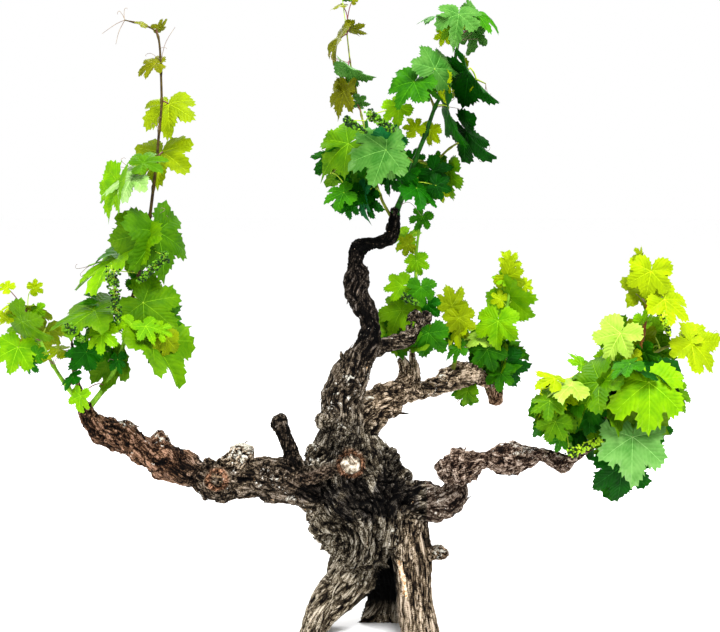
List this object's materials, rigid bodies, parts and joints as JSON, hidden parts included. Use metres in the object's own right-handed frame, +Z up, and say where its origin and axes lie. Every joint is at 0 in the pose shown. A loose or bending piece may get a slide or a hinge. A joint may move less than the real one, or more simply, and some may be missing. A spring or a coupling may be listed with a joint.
{
  "type": "grapevine",
  "caption": "Old bush-trained grapevine in spring: a hollow, fluted trunk on two legs, gnarled spreading arms and upright leafy shoots.",
  "frame": {"origin": "on the flat cut at ground level, under the trunk between its two legs and its heel", "axes": "+X to the right arm along the vine's spread, +Y to the back arm, +Z up"},
  "size_m": [1.5247, 0.7616, 1.4073],
  "materials": {
    "old_bark": "dark, fissured and shredding old vine bark with lichen",
    "arm_bark": "grey-brown shaggy, knotted arm bark",
    "green_shoot": "smooth green spring shoot, reddish at the joints",
    "leaf": "soft, satin young vine leaf"
  },
  "bodies": {
    "root": {"back_arm_hook": "old_bark", "back_arm_inner": "old_bark", "back_arm_outer": "old_bark", "back_arm_tall_stub": "old_bark", "back_arm_thin_stub": "old_bark", "back_inner_mass": "leaf", "back_inner_shoot": "green_shoot", "back_outer_mass": "leaf", "back_outer_shoot": "green_shoot", "back_tip_mass": "leaf", "back_under_mass": "leaf", "centre_back_mass": "leaf", "centre_back_shoot": "green_shoot", "centre_back_tip_mass": "leaf", "left_arm_burl": "old_bark", "left_arm_inner": "old_bark", "left_arm_outer": "old_bark", "left_arm_stub": "old_bark", "left_drooping_mass": "leaf", "left_head_mass": "leaf", "left_head_right_mass": "leaf", "left_low_mass": "leaf", "left_low_shoot": "green_shoot", "left_shoot_mass_high": "leaf", "left_shoot_mass_low": "leaf", "left_shoot_mass_mid": "leaf", "left_shoot_mass_top": "leaf", "left_shoot_tip": "green_shoot", "left_tall_shoot": "green_shoot", "low_right_stub": "old_bark", "right_arm_middle": "arm_bark", "right_arm_root": "arm_bark", "right_arm_tip": "arm_bark", "right_far_mass": "leaf", "right_front_mass": "leaf", "right_left_mass": "leaf", "right_low_mass": "leaf", "right_low_shoot": "green_shoot", "right_main_shoot": "green_shoot", "right_rear_mass": "leaf", "right_top_mass": "leaf", "right_upper_mass": "leaf", "top_crown_mass": "leaf", "top_front_mass": "leaf", "top_left_mass": "leaf", "top_low_right_mass": "leaf", "top_main_shoot": "green_shoot", "top_middle_mass": "leaf", "top_right_low_mass": "leaf", "top_right_mass": "leaf", "top_slim_mass": "leaf", "top_slim_shoot": "green_shoot", "top_slim_tip_mass": "leaf", "trunk": "old_bark", "upright_arm_bend": "old_bark", "upright_arm_lower": "old_bark", "upright_arm_top": "old_bark", "upright_side_branch": "old_bark"}
  },
  "joints": []
}
